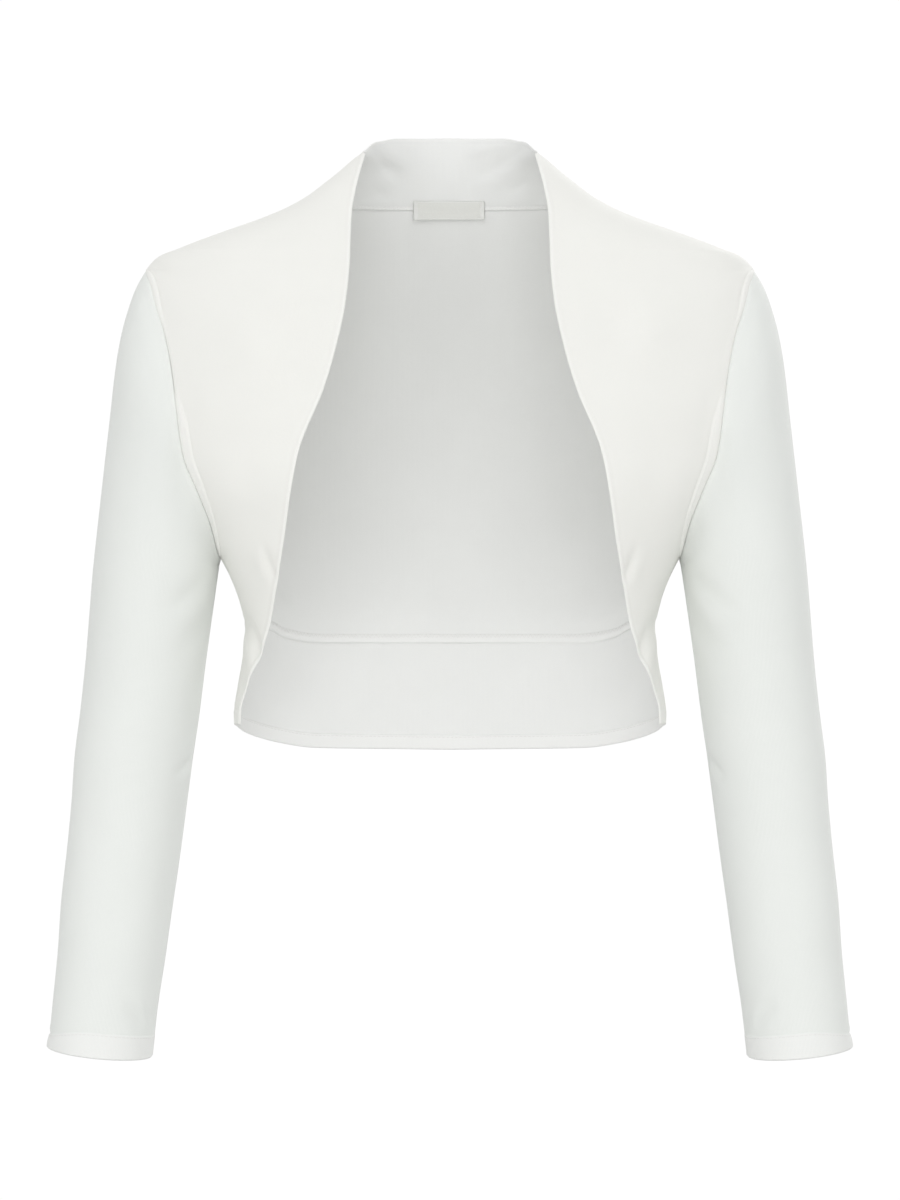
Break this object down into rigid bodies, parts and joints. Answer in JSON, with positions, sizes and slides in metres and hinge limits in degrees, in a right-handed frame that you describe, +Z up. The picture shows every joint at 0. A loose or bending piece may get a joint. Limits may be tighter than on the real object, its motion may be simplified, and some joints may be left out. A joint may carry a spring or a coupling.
{
  "type": "bolero jacket",
  "caption": "Cropped open-front bolero jacket with long tapered sleeves, a grown-on standing collar and a short waistband across the back, hollow as worn.",
  "frame": {"origin": "inside the neck: level with the back neck seam, midway between the shoulders, in the plane through the middle of the neck opening's front part", "axes": "+Z up along the wearer's back, +X towards the wearer's left sleeve, -Y out of the open front"},
  "size_m": [0.5558, 0.1952, 0.6472],
  "materials": {
    "front_cloth": "matte ivory crepe jersey",
    "back_cloth": "matte white crepe jersey, single layer",
    "sleeve_cloth": "matte white crepe jersey with faint lengthwise ribs",
    "label": "blank woven satin ribbon"
  },
  "bodies": {
    "root": {"right_front": "front_cloth", "left_front": "front_cloth", "back": "back_cloth", "back_collar": "back_cloth", "waistband": "back_cloth", "right_sleeve": "sleeve_cloth", "left_sleeve": "sleeve_cloth", "neck_label": "label"}
  },
  "joints": []
}
